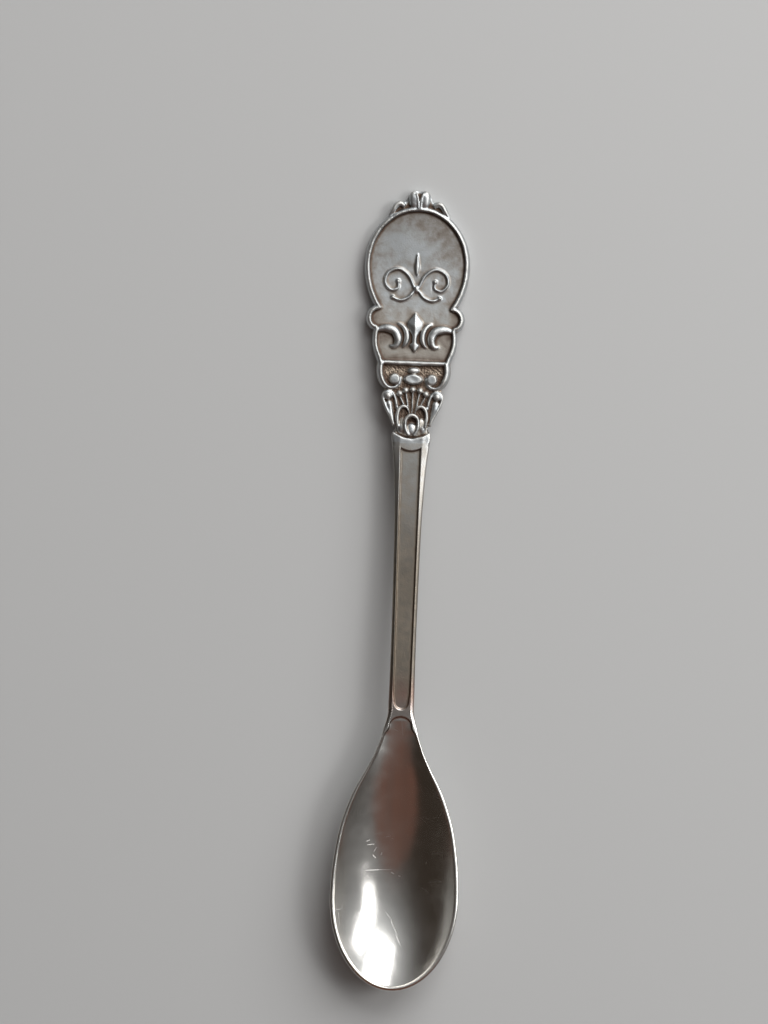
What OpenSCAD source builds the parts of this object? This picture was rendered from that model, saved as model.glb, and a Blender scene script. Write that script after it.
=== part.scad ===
// Small decorated silver spoon, struck in one piece: an egg-shaped bowl, a slim
// stem with a sunk panel, and a flat finial carved in relief. Millimetres, +Z up,
// +Y from the bowl tip to the crown. It lies bowl up, on the back of the bowl and
// on the back of the finial.

/* [Bowl] */
// length of the bowl from its tip to the start of the stem
bowl_length = 43.4; // [38:0.2:50]
// greatest width of the bowl over its rim
bowl_width = 20; // [17:0.5:23]
// distance from the bowl tip to its widest place
bowl_widest = 14.5; // [12:0.5:18]
// height of the rim above the table at the bowl tip
bowl_rim_height = 6.1; // [5.4:0.1:7.5]
// wall at the bottom of the bowl
bowl_wall = 0.9; // [0.7:0.05:1.3]
// width of the flat rim around the hollow
rim_width = 0.55; // [0.4:0.05:0.8]
// height of the outer edge under the rim
rim_edge = 0.7; // [0.5:0.05:1]
// half width of the rounded end of the hollow in the neck
hollow_end_radius = 1.5; // [1.2:0.05:1.6]

/* [Stem] */
// length of the stem from the bowl to the collar under the finial
stem_length = 42.3; // [36:0.1:56]
// width of the stem at its narrowest
stem_width = 3.86; // [3.6:0.02:4.6]
// width of the stem where it flares into the collar
stem_top_width = 6.1; // [5.6:0.1:6.8]
// thickness of the stem from its back to its raised edges
stem_thickness = 1.9; // [1.7:0.05:2.4]
// depth of the sunk panel on the stem
panel_depth = 0.4; // [0.25:0.05:0.6]
// width of the sloping edge beside the sunk panel
panel_edge = 0.55; // [0.45:0.05:0.7]
// drop of that edge towards the outside
edge_slope = 0.3; // [0.15:0.05:0.45]

/* [Side curve] */
// height of the back of the stem above the table at the neck
neck_height = 3.6; // [3:0.1:5]
// height of the back of the stem above the table past its middle
stem_height = 2.7; // [2.2:0.1:4]
// lift of the crown above the table
crown_lift = 0.2; // [0.1:0.05:0.4]

/* [Finial] */
// length of the finial from the collar to the crown
finial_length = 39.3; // [34:0.1:46]
// greatest width of the finial
finial_width = 16.6; // [15:0.2:20]
// thickness of the plate under the relief
plate_thickness = 1.2; // [1:0.05:1.5]
// rise of the frame bead above the plate
bead_rise = 0.62; // [0.45:0.02:0.8]
// half width of the frame bead
bead_half = 0.42; // [0.34:0.02:0.42]
// edge of the plate standing out past the middle of the frame bead
plate_margin = 0.5; // [0.44:0.02:0.6]

/* [Build] */
// part to draw

/* [Hidden] */

drawn_finial_length = 39;
drawn_finial_width = 16.6;
across = finial_width / drawn_finial_width;
along = finial_length / drawn_finial_length;

neck_y = bowl_length;
collar_y = bowl_length + stem_length;
overall_length = collar_y + finial_length;
stem_middle_y = neck_y + 0.6 * stem_length;
finial_mid_y = collar_y + 0.36 * finial_length;
rest_y = collar_y + 0.84 * finial_length;

bowl_half = bowl_width / 2;
stem_half = stem_width / 2;
stem_top_half = stem_top_width / 2;
neck_half = stem_half + 0.1;
hollow_end_y = neck_y - 0.7;
arch_start_y = hollow_end_y - hollow_end_radius;
bowl_curve = 2.2;
tip_curve = 2.5;
neck_slope = 0.02;
stem_slope = -0.03;
finial_slope = -0.09;
finial_mid_height = 0.45 * stem_height;
cutter_height = 20;
over = 2;
collar_radius = 4.5;
collar_gap = 0.2;
dish_radius = 2.9;
rim_drop = 0.1;
rim_bevel = 0.2;
crest_offset = 0.08;
least_side = 0.15;
foot_height = 0.2;
blend_length = 4;
throat_slope = 0.12;

tip_stations = 9;
neck_stations = 12;
stem_stations = 10;
under_points = 14;
hollow_points = 14;

silver = [0.78, 0.77, 0.75];

// Cubic between two knots [y, z, slope].
function cubic(a, b, y) =
    let (run = b[0] - a[0], t = (y - a[0]) / run)
    (2 * t^3 - 3 * t^2 + 1) * a[1] + (t^3 - 2 * t^2 + t) * run * a[2]
    + (3 * t^2 - 2 * t^3) * b[1] + (t^3 - t^2) * run * b[2];

// Height at y on a chain of such knots; past either end it runs on along the end cubic.
function height_on(knots, y, i = 0) =
    i < len(knots) - 2 && y > knots[i + 1][0]
        ? height_on(knots, y, i + 1)
        : cubic(knots[i], knots[i + 1], y);

// Smooth curve through points of any size of vector, a few steps to each span.
function through(points, steps) =
    let (last = len(points) - 1)
    concat(
        [for (i = [0 : last - 1], k = [0 : steps - 1])
            let (
                t = k / steps,
                a = points[max(i - 1, 0)], b = points[i],
                c = points[i + 1], d = points[min(i + 2, last)]
            )
            ((2 * b) + (c - a) * t + (2 * a - 5 * b + 4 * c - d) * t^2
                + (3 * b - a - 3 * c + d) * t^3) / 2],
        [points[last]]);

back_knots = [
    [neck_y, neck_height, neck_slope],
    [stem_middle_y, stem_height, stem_slope],
    [finial_mid_y, finial_mid_height, finial_slope],
    [rest_y, 0, 0],
    [overall_length, crown_lift, 0.07]
];
rim_knots = [
    [0, bowl_rim_height, 0],
    [neck_y, neck_height + stem_thickness, neck_slope]
];

function back_z(y) = height_on(back_knots, y);
function field_z(y) = back_z(y) + plate_thickness;
function top_z(y) =
    y < neck_y ? height_on(rim_knots, y) : back_z(y) + stem_thickness;
function under_z(y) =
    y < bowl_widest ? (bowl_rim_height - rim_edge) * (1 - y / bowl_widest) ^ tip_curve
    : y < neck_y ? cubic([bowl_widest, 0, 0], [neck_y, neck_height, neck_slope], y)
    : back_z(y);

function tip_z(y) =
    bowl_wall + (top_z(y) - bowl_wall)
        * (1 - (y - rim_width) / (bowl_widest - rim_width)) ^ tip_curve;
function hollow_z(y) =
    y < bowl_widest ? tip_z(y)
    : cubic([bowl_widest, bowl_wall, 0], [hollow_end_y, top_z(hollow_end_y), throat_slope], y);

// Half widths of the bowl from its widest place to the neck, as shares.
bowl_shape = [
    [0, 1, 0], [0.266, 0.925, -0.55], [0.426, 0.8, -1.15], [0.585, 0.58, -1.75],
    [0.716, 0.33, -1.75], [0.8, 0.195, -1.2], [0.875, 0.105, -0.75], [1, 0, -0.3]
];
function bowl_half_at(y) =
    neck_half + (bowl_half - neck_half)
        * height_on(bowl_shape, (y - bowl_widest) / (neck_y - bowl_widest));

stem_knots = [
    [neck_y, neck_half, -0.02],
    [neck_y + 0.24 * stem_length, stem_half, 0],
    [neck_y + 0.65 * stem_length, stem_half + 0.15, 0.015],
    [neck_y + 0.88 * stem_length, stem_half + 0.55, 0.06],
    [collar_y + 0.3, stem_top_half, 0.12],
    [collar_y + 1.3, stem_top_half - 0.2, -0.5]
];
function half_at(y) =
    y < bowl_widest ? bowl_half * sqrt(max(0, 1 - (1 - y / bowl_widest) ^ 2))
    : y < neck_y ? bowl_half_at(y)
    : height_on(stem_knots, y);

function hollow_half_at(y) =
    y < bowl_widest
        ? (bowl_half - rim_width)
            * sqrt(max(0, 1 - ((bowl_widest - y) / (bowl_widest - rim_width)) ^ 2))
        : min(half_at(y) - rim_width,
              y < arch_start_y ? bowl_half
              : sqrt(max(0, hollow_end_radius ^ 2 - (y - arch_start_y) ^ 2)));

// Share of the way from the plain rim of the bowl to the sloping edges of the stem.
function stem_share(y) = min(1, max(0, (y - neck_y + blend_length) / blend_length));
function edge_drop(y) = rim_drop + (edge_slope - rim_drop) * stem_share(y);
function shoulder_at(y) =
    let (rim = half_at(y) - rim_bevel * min(1, half_at(y) / 2))
    rim + (panel_half_at(y) + crest_offset - rim) * stem_share(y);
function side_edge(y) = y < neck_y ? rim_edge
    : rim_edge + (stem_thickness - rim_edge - foot_height) * ((y - neck_y) / stem_length) ^ 2;

// Half width of the sunk panel, a little wider towards the collar.
panel_start_y = neck_y + 0.3;
panel_end_y = collar_y - 1.1;
panel_dish = 0.5;
function panel_half_at(y) =
    stem_half - panel_edge + 0.25 * (y - panel_start_y) / (panel_end_y - panel_start_y);

// Closed skin over equal rings of points.
module skin(rings) {
    sides = len(rings[0]);
    last = len(rings) - 1;
    polyhedron(
        points = [for (ring = rings) each ring],
        faces = concat(
            [[for (k = [sides - 1 : -1 : 0]) k]],
            [[for (k = [0 : sides - 1]) last * sides + k]],
            [for (i = [0 : last - 1], k = [0 : sides - 1])
                let (n = (k + 1) % sides, a = i * sides, b = a + sides)
                each [[a + k, b + n, b + k], [a + k, a + n, b + n]]]),
        convexity = 8);
}

// Ring of the solid bowl and stem at y: flat top with sloping edges, bulging back.
function body_ring(y) =
    let (
        half = half_at(y), top = top_z(y), under = under_z(y),
        edge = top - max(edge_drop(y) + least_side, min(side_edge(y), (top - under) * 0.9)),
        shoulder = shoulder_at(y)
    )
    concat(
        [[half, y, top - edge_drop(y)], [shoulder, y, top],
         [-shoulder, y, top], [-half, y, top - edge_drop(y)]],
        [for (k = [0 : under_points])
            let (x = -half * cos(180 * k / under_points))
            [x, y, under + (edge - under) * abs(x / half) ^ bowl_curve]]);

function hollow_ring(y) =
    let (half = hollow_half_at(y), top = top_z(y), low = hollow_z(y), reach = 1.03)
    concat(
        [[reach * half, y, top + over], [-reach * half, y, top + over]],
        [for (k = [0 : hollow_points])
            let (x = -reach * half * cos(180 * k / hollow_points))
            [x, y, low + (top - low) * abs(x / half) ^ bowl_curve]]);

module bowl_and_stem() {
    skin([
        for (k = [0 : tip_stations])
            body_ring(bowl_widest * (1 - cos(4 + 86 * k / tip_stations))),
        for (k = [1 : neck_stations])
            body_ring(bowl_widest + (neck_y - blend_length - bowl_widest) * k / neck_stations),
        for (y = [1 - blend_length : 1 : 1]) body_ring(neck_y + y),
        for (k = [1 : stem_stations])
            body_ring(neck_y + 1 + (collar_y - 2 - neck_y - 1) * k / stem_stations),
        for (y = [-0.8, 0.3, 1.3]) body_ring(collar_y + y)
    ]);
}

module bowl_hollow() {
    inner = bowl_widest - rim_width;
    skin([
        for (k = [0 : tip_stations])
            hollow_ring(rim_width + inner * (1 - cos(5 + 85 * k / tip_stations))),
        for (k = [1 : neck_stations])
            hollow_ring(bowl_widest + (arch_start_y - bowl_widest) * k / neck_stations),
        for (a = [20 : 20 : 80])
            hollow_ring(arch_start_y + hollow_end_radius * sin(a))
    ]);
}

// Sunk panel of the stem, round at the bowl end and dished at the collar end.
module stem_panel() {
    round_end = panel_half_at(panel_start_y) - 0.15;
    straight_y = panel_start_y + round_end;
    function ring(y, half) =
        let (floor_z = top_z(y) - panel_depth)
        [[half, y, floor_z + over], [-half, y, floor_z + over],
         [-half, y, floor_z], [half, y, floor_z]];
    difference() {
        skin([
            for (a = [75 : -25 : 0])
                ring(panel_start_y + round_end * (1 - sin(a)), round_end * cos(a)),
            for (k = [1 : stem_stations])
                let (y = straight_y + (panel_end_y - straight_y) * k / stem_stations)
                ring(y, panel_half_at(y))
        ]);
        translate([0, panel_end_y - panel_dish + dish_radius, 0])
            cylinder(r = dish_radius, h = cutter_height, $fn = 32);
    }
}

// Place on the finial, from a drawn point [x, y] measured from the collar.
function place(p) = [p[0] * across, collar_y + p[1] * along];

// Raised bead along drawn knots [x, y, half width]; it sits on the finial plate.
module bead(knots, steps = 3, rise = 1.25, sink = 0.5) {
    path = through(knots, steps);
    last = len(path) - 1;
    section = [[1, -1], [0.82, 0.6], [0, 1], [-0.82, 0.6], [-1, -1]];
    skin([for (i = [0 : last])
        let (
            here = place(path[i]),
            way = place(path[min(i + 1, last)]) - place(path[max(i - 1, 0)]),
            side = [way[1], -way[0]] / norm(way),
            half = path[i][2]
        )
        [for (p = section)
            let (at = here + side * half * p[0])
            [at[0], at[1], field_z(at[1]) + (p[1] < 0 ? -sink : half * rise * p[1])]]]);
}

// Rounded boss at a drawn place with half sizes [x, y, z], its middle at the plate.
module boss(at, half, facets = 10) {
    spot = place(at);
    translate([spot[0], spot[1], field_z(spot[1]) + (len(at) > 2 ? at[2] : 0)])
        scale(half) sphere(r = 1, $fn = facets);
}

module mirrored() {
    children();
    mirror([1, 0, 0]) children();
}

// Arc of knots about a drawn middle, from one angle to another.
function arc(middle, radius, from, to, count, half) =
    [for (k = [0 : count])
        let (a = from + (to - from) * k / count)
        [middle[0] + radius * cos(a), middle[1] + radius * sin(a), half]];

// Middle line of the frame bead, right side, in drawn places from the collar.
oval_middle = [0, 27.2];
oval_top = 8.75;
oval_below = 10;
oval_half = 7.8;
oval_points = 9;
notch_angle = -44;
function oval(from, to, count) =
    [for (k = [0 : count])
        let (a = from + (to - from) * k / count)
        [oval_half * cos(a), oval_middle[1] + (a < 0 ? oval_below : oval_top) * sin(a), bead_half]];
lobe = arc([5.55, 18.85], 1.72, 78, -72, 5, bead_half);
side_frame = [[6.22, 16.3, 0.4], [6.27, 15.5, 0.4], [6.18, 14.7, 0.4], [5.85, 13.6, 0.42],
              [5.35, 12.3, 0.42], [5.2, 11.8, 0.42]];
lower_frame = [[5.1, 12.0, 0.48], [5.25, 11.2, 0.52], [5.22, 10.2, 0.52], [4.9, 9.2, 0.5],
               [4.4, 8.45, 0.42], [3.68, 8.02, 0.34], [2.9, 8.1, 0.3], [2.25, 8.55, 0.26],
               [1.95, 9.2, 0.24]];
leaf = [[2.75, 2.3, 0.24], [3.35, 3.6, 0.3], [4.05, 5.0, 0.32], [4.5, 6.2, 0.26], [4.5, 7.0, 0.24],
        [3.95, 7.45, 0.24], [3.2, 7.3, 0.24], [2.75, 6.5, 0.24], [2.52, 5.6, 0.24], [2.38, 4.8, 0.22]];

outline_right = [
    for (p = oval(90, notch_angle, oval_points)) [p[0], p[1]],
    for (p = lobe) [p[0], p[1]],
    for (p = side_frame) [p[0], p[1]],
    [5.3, 11.9], [5.45, 11.0], [5.35, 9.8], [4.85, 8.9], [4.15, 8.1], [4.4, 7.2], [4.3, 6.2],
    [3.8, 4.6], [3.05, 3.1], [2.5, 2.3], [2.2, 1.6], [2.25, 1.0], [2.2, -0.6]
];

module finial_outline() {
    offset(delta = plate_margin, chamfer = true)
        polygon([
            for (p = outline_right) place(p),
            for (k = [len(outline_right) - 1 : -1 : 1])
                place([-outline_right[k][0], outline_right[k][1]])
        ]);
    offset(r = 0.35, $fn = 16) mirrored() crown_outline();
}

module crown_outline() {
    polygon([for (p = [[-0.1, 34.5], [4.1, 35.0], [3.75, 36.2], [3.3, 36.9], [2.6, 36.8],
                       [1.75, 36.4], [1.5, 37.4], [1.1, 38.35], [0.6, 38.62], [-0.1, 38.3]])
        place(p)]);
}

// Plate of the finial: the outline cut from a strip that follows the side curve.
module finial_plate() {
    steps = 12;
    start = collar_y - 1;
    wide = finial_width;
    intersection() {
        skin([for (k = [0 : steps])
            let (y = start + (overall_length - start) * k / steps)
            [[wide, y, field_z(y)], [-wide, y, field_z(y)],
             [-wide, y, back_z(y)], [wide, y, back_z(y)]]]);
        linear_extrude(cutter_height) finial_outline();
    }
}

module frame() {
    color(silver) {
        bead(oval(180 - notch_angle, notch_angle, 3 * oval_points), 1, bead_rise / bead_half);
        mirrored() {
            bead(concat(lobe, side_frame), 1, bead_rise / bead_half);
            bead(lower_frame, 2, 1.3);
            boss([2.95, 9.4], [0.85, 0.85, 0.8]);
        }
    }
}

// Cross bar between the upper and the lower field.
module cross_bar() {
    hull() mirrored() boss([5.1, 11.95], [0.4, 0.4, 0.6], 10);
}

// Large scrolls under the oval, each with a curled crescent beside the bud.
module scrolls() {
    mirrored() {
        bead([[6.0, 16.9, 0.35], [5.3, 17.15, 0.5], [4.3, 17.25, 0.64], [3.2, 16.85, 0.7],
              [2.62, 15.9, 0.68], [2.72, 14.98, 0.54], [3.2, 14.5, 0.4], [3.75, 14.6, 0.25]],
             2, 1.1);
        bead([[2.7, 18.05, 0.16], [2.0, 17.75, 0.3], [1.42, 16.9, 0.4], [1.25, 15.85, 0.42],
              [1.42, 14.95, 0.36], [1.85, 14.4, 0.18]], 2, 1.5);
    }
}

// Pointed bud between the scrolls, with a ridge along its middle and a small foot.
module bud() {
    hull() {
        boss([0, 19.6, 0.2], [0.1, 0.15, 0.15], 8);
        mirrored() boss([0.98, 17.95, 0.05], [0.22, 0.5, 0.25], 8);
        boss([0, 17.6, 0.6], [0.12, 0.4, 0.3], 8);
        boss([0, 16.0, 0.3], [0.34, 0.4, 0.35], 8);
    }
    hull() {
        boss([0, 16.0, 0.2], [0.32, 0.3, 0.45], 8);
        boss([0, 15.0, 0.1], [0.3, 0.3, 0.45], 8);
    }
    hull() {
        boss([0, 14.95, 0.1], [0.3, 0.3, 0.42], 8);
        mirrored() boss([0.5, 14.7], [0.24, 0.25, 0.38], 8);
        boss([0, 13.95], [0.2, 0.28, 0.36], 8);
    }
}

// Raised lozenge and small dome in the lower field.
module lozenge() {
    boss([0, 9.42], [1.55, 0.8, 0.78], 12);
    boss([0, 10.78], [0.96, 0.5, 0.6], 12);
}

// Leaf on either side of the cup, its rim rolled round a ball at its head.
module side_scrolls() {
    mirrored() {
        bead(leaf, 2, 1.9);
        boss([3.86, 6.8, 0.05], [0.7, 0.66, 0.78]);
        hull() {
            boss([3.68, 5.5, 0.05], [0.55, 0.6, 0.5], 8);
            boss([2.85, 2.7], [0.25, 0.4, 0.4], 8);
        }
    }
}

// Row of round-headed stamens standing out of the cup.
module stamens() {
    heads = [[-2.06, 7.15], [-1.12, 7.68], [0, 7.8], [1.12, 7.68], [2.06, 7.15]];
    feet = [[-1.1, 4.6], [-0.55, 4.3], [0, 4.2], [0.55, 4.3], [1.1, 4.6]];
    for (k = [0 : len(heads) - 1]) {
        boss([heads[k][0], heads[k][1], 0.2], [0.46, 0.46, 0.45], 8);
        hull() {
            boss([heads[k][0], heads[k][1] - 0.3, 0.1], [0.18, 0.2, 0.35], 6);
            boss([feet[k][0], feet[k][1], 0.1], [0.14, 0.2, 0.35], 6);
        }
    }
}

// Cup of three arched shells that the stamens stand in.
module cup() {
    hull() {
        boss([0, 1.35, 0.05], [1.3, 0.85, 0.65]);
        mirrored() boss([1.6, 2.3], [0.75, 0.75, 0.55]);
    }
    bead([[0.4, 0.8, 0.24], [0.85, 1.5, 0.27], [1.03, 2.5, 0.3], [0.8, 3.4, 0.3], [0, 3.85, 0.32],
          [-0.8, 3.4, 0.3], [-1.03, 2.5, 0.3], [-0.85, 1.5, 0.27], [-0.4, 0.8, 0.24]], 2, 3.3);
    mirrored()
        bead([[0.6, 4.5, 0.18], [0.82, 4.98, 0.24], [1.35, 5.2, 0.27], [1.95, 4.85, 0.28],
              [2.27, 4.0, 0.28], [2.27, 3.0, 0.27], [2.1, 2.1, 0.24]], 2, 2.7);
}

// Round cut that dishes the end of the stem into a crescent collar under the cup.
module collar_dish() {
    translate([0, collar_y + collar_gap + collar_radius, 0])
        cylinder(r = collar_radius, h = cutter_height, $fn = 40);
}

// Crown of two upright leaves between two small curls.
module crown() {
    mirrored() {
        boss([0.86, 37.2, 0.05], [0.8, 1.5, 0.65], 14);
        bead([[0.2, 36.0, 0.16], [0.22, 36.8, 0.2], [0.3, 37.6, 0.2], [0.55, 38.2, 0.16]], 2, 4.2);
        bead([[4.6, 34.9, 0.25], [3.9, 35.7, 0.42], [3.3, 36.5, 0.5], [2.6, 36.7, 0.42],
              [2.2, 36.2, 0.3]], 2, 1.5);
    }
    boss([0, 36.1], [0.3, 0.42, 0.6], 8);
}

// Raised line ornament on the oval: paired scrolls about a slender drop, drawn from the
// middle of the oval.
module oval_ornament() {
    function on_oval(p) = [p[0], p[1] + oval_middle[1], p[2]];
    function line(knots) = [for (p = knots) on_oval(p)];
    mirrored() {
        bead(line([[0.3, -3.6, 0.2], [1.3, -1.6, 0.24], [2.9, -0.6, 0.24], [4.5, -1.3, 0.24],
                   [4.9, -2.8, 0.24], [4.0, -3.9, 0.24], [2.9, -3.6, 0.22], [2.9, -2.6, 0.2]]),
             3, 1.5);
        bead(line([[0.3, -3.9, 0.2], [1.2, -5.0, 0.24], [2.5, -5.5, 0.24], [3.6, -5.1, 0.2]]),
             3, 1.5);
        boss(on_oval([2.9, -2.55, 0]), [0.34, 0.34, 0.4], 8);
        boss(on_oval([3.65, -5.05, 0]), [0.32, 0.32, 0.4], 8);
    }
    hull() {
        boss(on_oval([0, 1.7, 0]), [0.08, 0.1, 0.2], 6);
        boss(on_oval([0, -0.3, 0]), [0.4, 0.5, 0.42], 8);
        boss(on_oval([0, -1.4, 0]), [0.1, 0.2, 0.3], 6);
    }
    boss(on_oval([0, -3.7, 0]), [0.42, 0.6, 0.45], 8);
}

module spoon() {
    color(silver)
        translate([0, -overall_length / 2, 0]) {
            difference() {
                bowl_and_stem();
                bowl_hollow();
                stem_panel();
                collar_dish();
            }
            finial_plate();
            frame();
            cross_bar();
            scrolls();
            bud();
            lozenge();
            side_scrolls();
            stamens();
            cup();
            crown();
            oval_ornament();
        }
}

spoon();
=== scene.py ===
"""Looks of a small decorated silver coffee spoon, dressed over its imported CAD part.

The spoon is one struck piece. Its bowl and stem are a grid laid row by row over the same
side curve as the CAD part, and its finial is a plate with swept beads and bosses, fused
by a voxel remesh, bent to the side curve and bridged to the stem. Lengths inside the
shape functions are millimetres, with y measured from the bowl tip.
"""

import math

import bmesh
import bpy
import numpy as np
from bpy.props import FloatProperty, FloatVectorProperty, PointerProperty
from mathutils import Matrix, Quaternion, Vector, noise


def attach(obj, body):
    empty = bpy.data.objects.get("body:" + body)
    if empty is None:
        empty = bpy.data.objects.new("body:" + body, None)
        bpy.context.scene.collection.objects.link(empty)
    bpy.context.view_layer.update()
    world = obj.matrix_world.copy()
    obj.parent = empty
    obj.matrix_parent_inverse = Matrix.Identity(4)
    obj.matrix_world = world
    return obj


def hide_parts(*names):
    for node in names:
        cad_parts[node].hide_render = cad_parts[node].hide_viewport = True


bl_info = {
    "name": "Decorated silver spoon",
    "version": (1, 0, 0),
    "blender": (4, 5, 0),
    "location": "3D View > Sidebar > Spoon",
    "description": "Builds a small silver spoon with a relief finial on its table",
    "category": "Object",
}

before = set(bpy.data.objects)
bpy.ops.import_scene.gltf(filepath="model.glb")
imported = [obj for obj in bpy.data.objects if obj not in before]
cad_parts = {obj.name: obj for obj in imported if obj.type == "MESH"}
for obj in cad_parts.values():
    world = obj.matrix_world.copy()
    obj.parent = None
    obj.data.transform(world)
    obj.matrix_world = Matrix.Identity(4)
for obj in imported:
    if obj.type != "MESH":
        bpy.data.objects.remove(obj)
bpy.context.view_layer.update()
MM = 1000.0

BOWL_LENGTH = 43.4
STEM_LENGTH = 42.3
FINIAL_LENGTH = 39.3
DRAWN_FINIAL_LENGTH = 39.0
ALONG = FINIAL_LENGTH / DRAWN_FINIAL_LENGTH
NECK_Y = BOWL_LENGTH
COLLAR_Y = BOWL_LENGTH + STEM_LENGTH
OVERALL = COLLAR_Y + FINIAL_LENGTH
BOWL_WIDEST = 14.5
BOWL_TIP = 0.04
NECK_HEIGHT = 3.6
STEM_HEIGHT = 2.7
NECK_SLOPE = 0.02
THROAT_SLOPE = 0.12
STEM_THICKNESS = 1.9
STEM_HALF = 1.93
NECK_HALF = STEM_HALF + 0.1
STEM_TOP_HALF = 3.05
RIM_HEIGHT = 6.1
RIM_WIDTH = 0.55
NECK_RIM_WIDTH = 0.3
RIM_NARROWS_START_Y = 30
RIM_NARROWS_END_Y = 38
RIM_EDGE = 0.7
OUTER_ROUND = 0.2
BOWL_WALL = 0.9
HOLLOW_END_Y = NECK_Y - 0.7
ARCH_HALF = 1.82
ARCH_LENGTH = 1.5
ARCH_Y = HOLLOW_END_Y - ARCH_LENGTH
ARCH_BLEND_Y = 39.6
HOLLOW_STEP = 0.16
PANEL_START_Y = NECK_Y + 0.3
PANEL_END_Y = COLLAR_Y - 1.6
PANEL_HALF = 1.38
PANEL_WIDENING = 0.25
PANEL_WALL = 0.24
PANEL_DIRT = 0.3
ARCH_DIRT = 0.7
DISH_RADIUS = 2.9
COLLAR_RADIUS = 4.5
JOIN_Y = COLLAR_Y - 0.7
JOIN_GAP = 0.5
SOFTENING = 3
WEAR_LENGTH = 0.9
WEAR_DEPTH = 0.05
KEPT_FACES = 0.53
RECESS_PASSES = 60
FULL_RECESS = 0.25
GROUND_START_Y = 1.5
GROUND_END_Y = 11.9

BACK_KNOTS = [(NECK_Y, NECK_HEIGHT, NECK_SLOPE), (NECK_Y + 0.6 * STEM_LENGTH, STEM_HEIGHT, -0.03),
              (COLLAR_Y + 0.36 * FINIAL_LENGTH, 0.45 * STEM_HEIGHT, -0.09),
              (COLLAR_Y + 0.84 * FINIAL_LENGTH, 0, 0), (OVERALL, 0.2, 0.07)]
RIM_KNOTS = [(0, RIM_HEIGHT, 0), (NECK_Y, NECK_HEIGHT + STEM_THICKNESS, NECK_SLOPE)]
NECK_SHARES = [(0, 1, 0), (0.266, 0.925, -0.55), (0.426, 0.8, -1.15), (0.585, 0.58, -1.75),
               (0.716, 0.33, -1.75), (0.8, 0.195, -1.2), (0.875, 0.105, -0.75), (1, 0, -0.3)]
STEM_KNOTS = [(NECK_Y, NECK_HALF, -0.02), (NECK_Y + 0.24 * STEM_LENGTH, STEM_HALF, 0),
              (NECK_Y + 0.65 * STEM_LENGTH, STEM_HALF + 0.15, 0.015),
              (NECK_Y + 0.88 * STEM_LENGTH, STEM_HALF + 0.55, 0.06),
              (COLLAR_Y + 0.3, STEM_TOP_HALF, 0.12), (COLLAR_Y + 1.3, STEM_TOP_HALF - 0.2, -0.5)]


def hex_colour(code):
    """Linear RGBA of an sRGB hex code."""
    channels = [int(code[k:k + 2], 16) / 255 for k in (1, 3, 5)]
    linear = [c / 12.92 if c <= 0.04045 else ((c + 0.055) / 1.055) ** 2.4 for c in channels]
    return (*linear, 1.0)


class SpoonSizes(bpy.types.PropertyGroup):
    """Sizes and colours of the spoon that a user would change."""

    bowl_width: FloatProperty(
        name="Bowl width", description="Greatest width over the rim",
        default=0.01999, unit="LENGTH")
    panel_depth: FloatProperty(
        name="Panel depth", description="Depth of the sunk panel on the stem",
        default=0.0004, unit="LENGTH")
    plate_thickness: FloatProperty(
        name="Plate thickness", description="Thickness of the finial under its relief",
        default=0.0012, unit="LENGTH")
    grain: FloatProperty(
        name="Relief grain", description="Smallest step of the finial's mesh",
        default=0.0001, unit="LENGTH")
    silver: FloatVectorProperty(
        name="Silver", description="Colour of the bare worn silver",
        default=hex_colour("#E4E1DC"), size=4, subtype="COLOR", min=0, max=1)
    dull_silver: FloatVectorProperty(
        name="Dull silver", description="Colour of the silver under the grey film of the handle",
        default=hex_colour("#B6B9BA"), size=4, subtype="COLOR", min=0, max=1)
    # Painted reflection: the brown tint of the silver at the neck stands for a warm colour that the
    # neck reflects, not for a film.
    neck_painted_reflection: FloatVectorProperty(
        name="Neck film", description="Colour of the silver under the brown film of the neck",
        default=hex_colour("#90726B"), size=4, subtype="COLOR", min=0, max=1)
    stem_film: FloatVectorProperty(
        name="Stem film", description="Colour of the silver under the film of the stem",
        default=hex_colour("#7C766E"), size=4, subtype="COLOR", min=0, max=1)
    tarnish: FloatVectorProperty(
        name="Tarnish", description="Colour of the tarnish in the recesses",
        default=hex_colour("#5A4A40"), size=4, subtype="COLOR", min=0, max=1)
    table: FloatVectorProperty(
        name="Table", description="Colour of the plain floor",
        default=hex_colour("#B9B9B8"), size=4, subtype="COLOR", min=0, max=1)


def sizes():
    return bpy.context.scene.spoon_sizes


# Curves that give the spoon's lengthwise and cross sections.

def cubic(a, b, y):
    """Cubic between two knots (y, value, slope)."""
    run = b[0] - a[0]
    t = (y - a[0]) / run
    return ((2 * t**3 - 3 * t**2 + 1) * a[1] + (t**3 - 2 * t**2 + t) * run * a[2]
            + (3 * t**2 - 2 * t**3) * b[1] + (t**3 - t**2) * run * b[2])


def height_on(knots, y):
    """Value at y on a chain of such knots."""
    k = 0
    while k < len(knots) - 2 and y > knots[k + 1][0]:
        k += 1
    return cubic(knots[k], knots[k + 1], y)


def ease(t):
    t = min(1.0, max(0.0, t))
    return t * t * (3 - 2 * t)


def mix(a, b, t):
    return a + (b - a) * t


def back_z(y):
    return height_on(BACK_KNOTS, y)


def top_z(y):
    return height_on(RIM_KNOTS, y) if y < NECK_Y else back_z(y) + STEM_THICKNESS


def under_z(y):
    if y < BOWL_WIDEST:
        return 0.0
    if y < NECK_Y:
        return cubic((BOWL_WIDEST, 0, 0), (NECK_Y, NECK_HEIGHT, NECK_SLOPE), y)
    return back_z(y)


def hollow_z(y):
    if y < BOWL_WIDEST:
        return BOWL_WALL
    return cubic((BOWL_WIDEST, BOWL_WALL, 0), (HOLLOW_END_Y, top_z(HOLLOW_END_Y), THROAT_SLOPE), y)


def bowl_half():
    return sizes().bowl_width * MM / 2


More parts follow.
